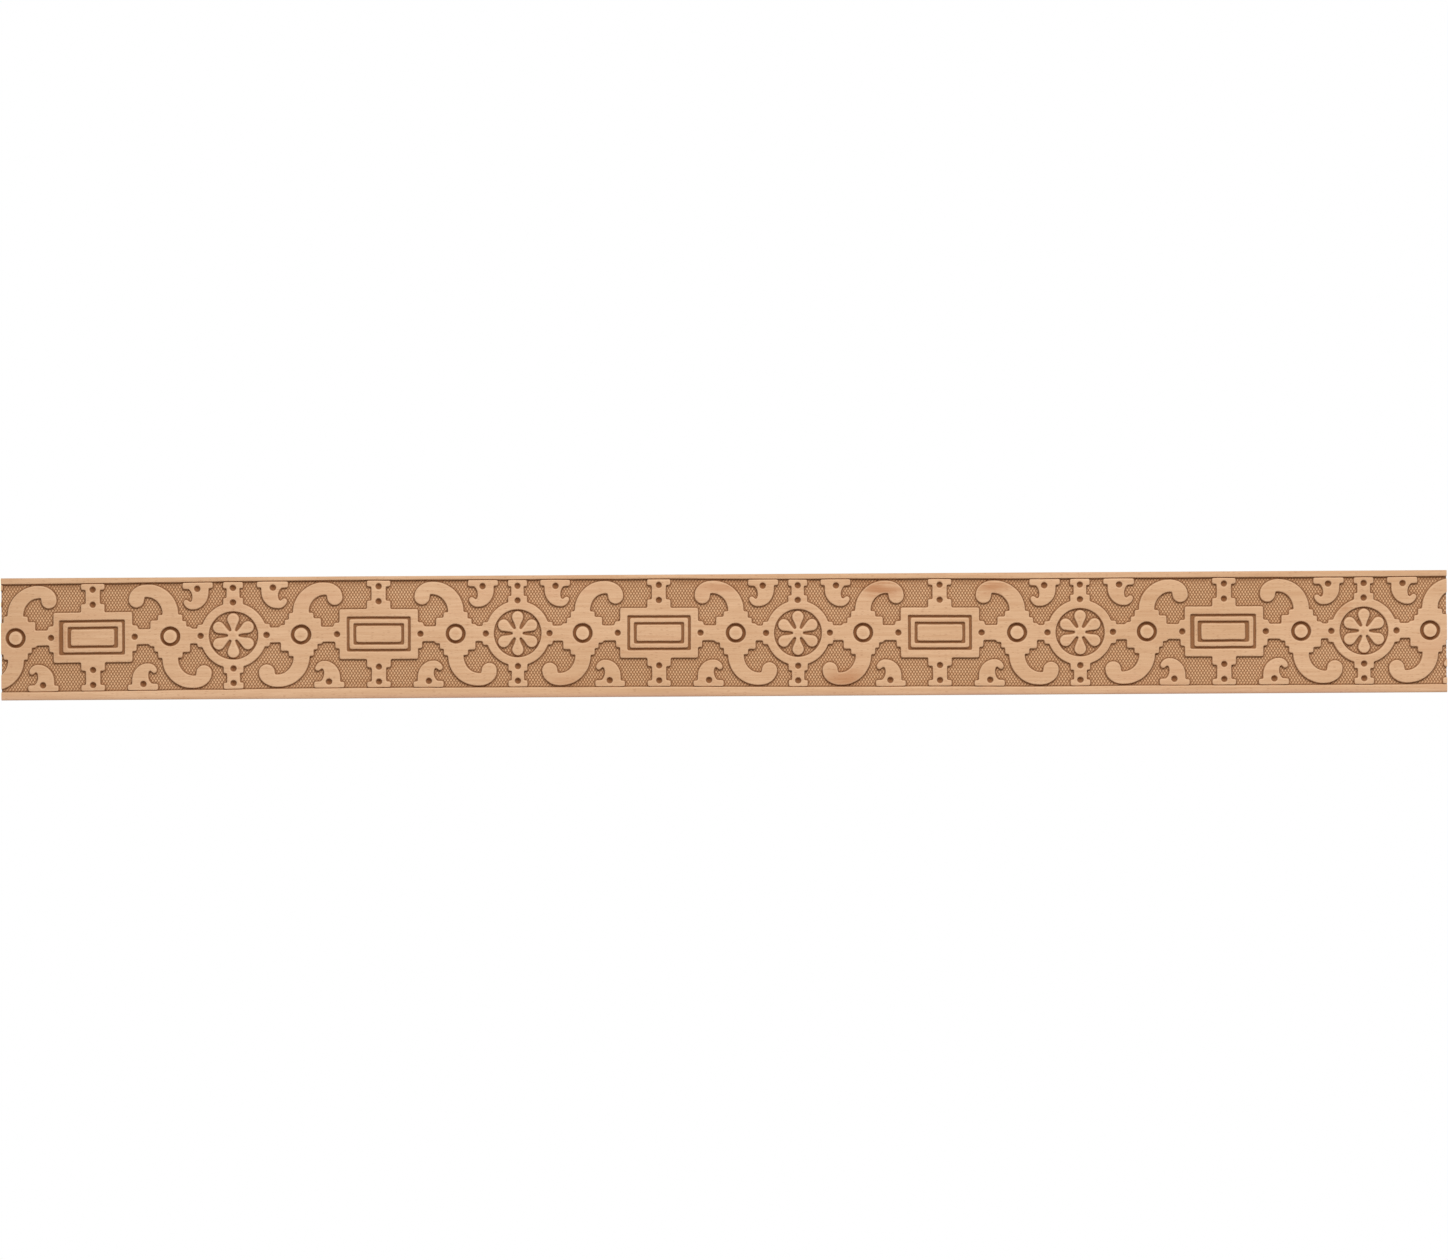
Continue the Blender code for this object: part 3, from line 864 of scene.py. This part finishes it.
# Over what span each mark comes in, and its strength at the two ends where that isn't 0 and 1
BOARD_TONE_SPAN = (0.35, 0.65)
STREAK_SPAN = (0.40, 0.72, 0.0, 0.55)
FIBRE_SPAN = (0.45, 0.75, 0.0, 0.35)
FLECK_EDGE = (0.34, 0.18)
FLECK_CHOICE = (0.55, 0.7)
BLUSH_SPAN = (0.56, 0.72, 0.0, 0.18)
STRAY_SPAN = (0.3, 0.7, -0.003, 0.003)
TINGE_AND_SHADOW_EDGE = (1.2, 0.3)
LOWER_BAND_FROM_Z = (-0.0385, -0.0418)
LOWER_BAND_SPAN = (0.4, 0.6, 0.15, 0.5)
DEEP_SPAN = (0.15, 0.8)
CUT_SPAN = (0.81, 1.0, 0.0, 0.75)
SAWN_FACING = (0.9, 0.98)
PORE_SPAN = (0.4, 0.65, 0.25, 0.7)
CLEAR_OF_NOOKS = (0.05, 0.0)
ROUGHNESS_SPAN = (0.3, 0.7, 0.56, 0.68)

FLECK_STRENGTH = 0.4
HIGHLIGHT_STRENGTH = 0.45
DEEP_STRENGTH = 0.32
NOOK_STRENGTH = 0.85
DEEP_ROUGHER = 0.1
SHEEN = 0.1
FLECK_SINK = 0.3
GRAIN_BUMP = {"Strength": 0.35, "Distance": 0.0002}

# Places where the tool or the wood has left a reddish-brown tinge, and two bands of painted shadow below the
# upper fillet: centre, reach, strength
TINGE_AND_SHADOW_PLACES = (((0.109, -0.01, 0.031), (0.016, 0.006, 0.006), 0.6),
           ((0.084, -0.01, -0.031), (0.017, 0.006, 0.008), 0.5),
           ((0.186, -0.01, 0.033), (0.014, 0.006, 0.005), 0.5),
           ((-0.108, -0.01, -0.032), (0.016, 0.006, 0.006), 0.3),
           # These two bands are painted shadow below the upper fillet
           ((0.0, -0.01, 0.0335), (0.03, 0.008, 0.0035), 0.35),
           ((0.099, -0.01, 0.0345), (0.02, 0.008, 0.0035), 0.35),
           ((-0.458, -0.01, 0.0), (0.006, 0.006, 0.014), 0.3),
           ((0.428, -0.01, 0.016), (0.006, 0.006, 0.008), 0.3))


def tinged_and_shadowed(n, place, colour):
    """The colour with the reddish-brown places on it, the wood's own tinge and painted shadow below the upper
    fillet, their edges a little stray.
    """
    stray = n.span(n.noise(n.stretched(place, STRAY_FINENESS)), *STRAY_SPAN)
    warped = n.vector("ADD", place, stray).outputs[0]
    for centre, radii, strength in TINGE_AND_SHADOW_PLACES:
        offset = n.vector("ADD", warped, Vector(centre) * -1).outputs[0]
        scaled = n.vector("MULTIPLY", offset, [1 / radius for radius in radii]).outputs[0]
        away = n.vector("LENGTH", scaled).outputs["Value"]
        colour = n.mix(n.span(away, *TINGE_AND_SHADOW_EDGE, 0.0, strength), colour, TINGE_AND_SHADOW_BROWN)
    return colour


def end_grain(n, place, nook, colour):
    """The colour with the open pores of the two sawn ends on it."""
    facing = n.separate(n.add("ShaderNodeNewGeometry").outputs["True Normal"], "X")
    sawn = n.span(n.calc("ABSOLUTE", facing), *SAWN_FACING)
    pores = n.noise(n.stretched(place, PORE_FINENESS), detail=2.0)
    ends = n.mix(n.span(pores, *PORE_SPAN), colour, SAWN_BROWN)
    return n.mix(n.calc("MULTIPLY", sawn, n.span(nook, *CLEAR_OF_NOOKS)), colour, ends)


def beech():
    """Steamed beech, sanded and unfinished: fine grain along the run, short flecks, and painted shade in the
    cuts, partly burnish.
    """
    n = Nodes("carved_beech")
    place = n.add("ShaderNodeTexCoord").outputs["Object"]
    hollow, nook, painted_highlight = (n.attribute(name) for name in ("hollow", "nook", "painted_highlight"))

    board_tone = n.noise(n.stretched(place, BOARD_TONE_FINENESS), detail=2.0)
    streaks = n.noise(n.stretched(place, STREAK_FINENESS), detail=4.0, roughness=0.6, distortion=0.3)
    fibres = n.noise(n.stretched(place, FIBRE_FINENESS), roughness=0.6)
    colour = n.mix(n.span(board_tone, *BOARD_TONE_SPAN), WOOD_PALE, WOOD_MIDDLE)
    colour = n.mix(n.span(streaks, *STREAK_SPAN), colour, STREAK_BROWN)
    colour = n.mix(n.span(fibres, *FIBRE_SPAN), colour, FIBRE_BROWN)

    flecks = {"Vector": n.stretched(place, FLECK_FINENESS), "Scale": 1.0, "Randomness": 1.0}
    cells = n.add("ShaderNodeTexVoronoi", flecks)
    chosen = n.add("ShaderNodeSeparateColor", {"Color": cells.outputs["Color"]}).outputs["Red"]
    fleck = n.calc("MULTIPLY", n.span(cells.outputs["Distance"], *FLECK_EDGE), n.span(chosen, *FLECK_CHOICE))
    colour = n.mix(n.calc("MULTIPLY", fleck, FLECK_STRENGTH), colour, FLECK_BROWN)

    blush = n.noise(n.stretched(place, BLUSH_FINENESS, BLUSH_SHIFT), detail=2.0)
    colour = n.mix(n.span(blush, *BLUSH_SPAN), colour, BLUSH_PINK)
    colour = tinged_and_shadowed(n, place, colour)

    # Painted highlight along the arrises of the raised work
    colour = n.mix(n.calc("MULTIPLY", painted_highlight, HIGHLIGHT_STRENGTH), colour, HIGHLIGHT_PALE)
    # Pinker and a little darker in patches towards the lower edge
    lower_edge = n.span(n.separate(place, "Z"), *LOWER_BAND_FROM_Z)
    lower_band_tint = n.calc("MULTIPLY", lower_edge, n.span(board_tone, *LOWER_BAND_SPAN))
    colour = n.mix(lower_band_tint, colour, LOWER_BAND_PINK)
    deep = n.span(hollow, *DEEP_SPAN)
    colour = n.mix(n.calc("MULTIPLY", deep, DEEP_STRENGTH), colour, DEEP_GOLD)
    # Painted shade: the deepest cuts and the nooks at the foot of the walls darkened, partly the darker
    # burnish of the pressed wood
    cut = n.calc("MAXIMUM", n.span(hollow, *CUT_SPAN), n.calc("MULTIPLY", nook, NOOK_STRENGTH))
    colour = n.mix(cut, colour, SHADE_AND_BURNISH_BROWN)
    n.feed(n.shader.inputs["Base Color"], end_grain(n, place, nook, colour))

    rough = n.calc("ADD", n.span(streaks, *ROUGHNESS_SPAN), n.calc("MULTIPLY", deep, DEEP_ROUGHER))
    n.feed(n.shader.inputs["Roughness"], rough)
    n.shader.inputs["Specular IOR Level"].default_value = SHEEN

    grain = n.calc("ADD", n.calc("MULTIPLY", fibres, 0.5), n.calc("MULTIPLY", streaks, 0.5))
    surface = n.calc("SUBTRACT", grain, n.calc("MULTIPLY", fleck, FLECK_SINK))
    bump = n.add("ShaderNodeBump", {"Height": surface, **GRAIN_BUMP})
    n.feed(n.shader.inputs["Normal"], bump.outputs["Normal"])
    return n.material


# The pale floor, and the lights: place, what it shines at, size in metres, power in watts
FLOOR_SIZE = (6.0, 1.9)
FLOOR_PLACE = (0, -0.55, -0.55)
FLOOR_TONES = (from_srgb(238, 237, 235), from_srgb(232, 231, 229))
FLOOR_ROUGHNESS = 0.8
SURROUNDINGS = 0.38
LIGHT_ABOVE = {"place": (0.33, -1.9, 1.45), "aim": (0.08, 0, 0), "size": (1.8, 0.3), "power": 39}
LIGHT_LEFT = {"place": (-2.2, -1.9, 0.7), "aim": (0.2, 0, 0), "size": (0.8, 0.8), "power": 4}


def pale_floor():
    n = Nodes("pale_floor")
    place = n.add("ShaderNodeTexCoord").outputs["Object"]
    n.feed(n.shader.inputs["Base Color"], n.mix(n.noise(place, scale=3.0, detail=2.0), *FLOOR_TONES))
    n.shader.inputs["Roughness"].default_value = FLOOR_ROUGHNESS
    return n.material


def plane(name, size, place):
    shape = bmesh.new()
    bmesh.ops.create_grid(shape, x_segments=1, y_segments=1, size=0.5)
    bmesh.ops.scale(shape, vec=(*size, 1), verts=shape.verts)
    mesh = bpy.data.meshes.new(name)
    shape.to_mesh(mesh)
    shape.free()
    thing = bpy.data.objects.new(name, mesh)
    thing.location = place
    bpy.context.scene.collection.objects.link(thing)
    return thing


def soft_light(name, place, aim, size, power):
    lamp = bpy.data.lights.new(name, "AREA")
    lamp.shape = "RECTANGLE"
    lamp.size, lamp.size_y = size
    lamp.energy = power
    thing = bpy.data.objects.new(name, lamp)
    thing.location = place
    thing.rotation_euler = (Vector(aim) - Vector(place)).to_track_quat("-Z", "Y").to_euler()
    bpy.context.scene.collection.objects.link(thing)


mesh = carved_mesh()
moulding = bpy.data.objects.new("carved_moulding", mesh)
bpy.context.scene.collection.objects.link(moulding)
moulding.data.materials.append(beech())
weighted = moulding.modifiers.new("flat_faces_first", "WEIGHTED_NORMAL")
weighted.mode = "FACE_AREA"
weighted.keep_sharp = True
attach(moulding, "root")
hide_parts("moulding")

floor = plane("floor", FLOOR_SIZE, FLOOR_PLACE)
floor.data.materials.append(pale_floor())

# White surroundings, a broad light from above and a weak one from the left
world = bpy.data.worlds.new("white")
bpy.context.scene.world = world
world.use_nodes = True
world_nodes, links = world.node_tree.nodes, world.node_tree.links
lit = world_nodes["Background"]
lit.inputs["Color"].default_value = (1, 1, 1, 1)
lit.inputs["Strength"].default_value = SURROUNDINGS
seen = world_nodes.new("ShaderNodeBackground")
seen.inputs["Color"].default_value = (1, 1, 1, 1)
path = world_nodes.new("ShaderNodeLightPath")
either = world_nodes.new("ShaderNodeMixShader")
links.new(path.outputs["Is Camera Ray"], either.inputs[0])
links.new(lit.outputs[0], either.inputs[1])
links.new(seen.outputs[0], either.inputs[2])
links.new(either.outputs[0], world_nodes["World Output"].inputs["Surface"])
soft_light("above", **LIGHT_ABOVE)
soft_light("left", **LIGHT_LEFT)
bpy.context.scene.view_settings.view_transform = "Standard"

# The photograph is 1448 x 1260 pixels and the moulding is 1446 of them long
IMAGE = (1448, 1260)
LENGTH_IN_PIXELS = 1446
MIDDLE_IN_PIXELS = (724.0, 635.3)
TILT = 0.33
CAMERA_DISTANCE = 3.0
SENSOR_WIDTH = 36
SIGHT_END = 50
metres_a_pixel = LENGTH / MM / LENGTH_IN_PIXELS
camera_data = bpy.data.cameras.new("camera")
camera_data.sensor_width = SENSOR_WIDTH
camera_data.sensor_fit = "HORIZONTAL"
camera_data.lens = SENSOR_WIDTH * CAMERA_DISTANCE / (IMAGE[0] * metres_a_pixel)
camera_data.clip_end = SIGHT_END
camera = bpy.data.objects.new("camera", camera_data)
tilt = radians(TILT)
right = (IMAGE[0] / 2 - MIDDLE_IN_PIXELS[0]) * metres_a_pixel
up = (MIDDLE_IN_PIXELS[1] - IMAGE[1] / 2) * metres_a_pixel
camera.location = (right * cos(tilt) + up * sin(tilt), -CAMERA_DISTANCE - THICKNESS / MM, up * cos(tilt))
camera.rotation_euler = (Matrix.Rotation(tilt, 3, "Y") @ Matrix.Rotation(pi / 2, 3, "X")).to_euler()
bpy.context.scene.collection.objects.link(camera)
bpy.context.scene.camera = camera
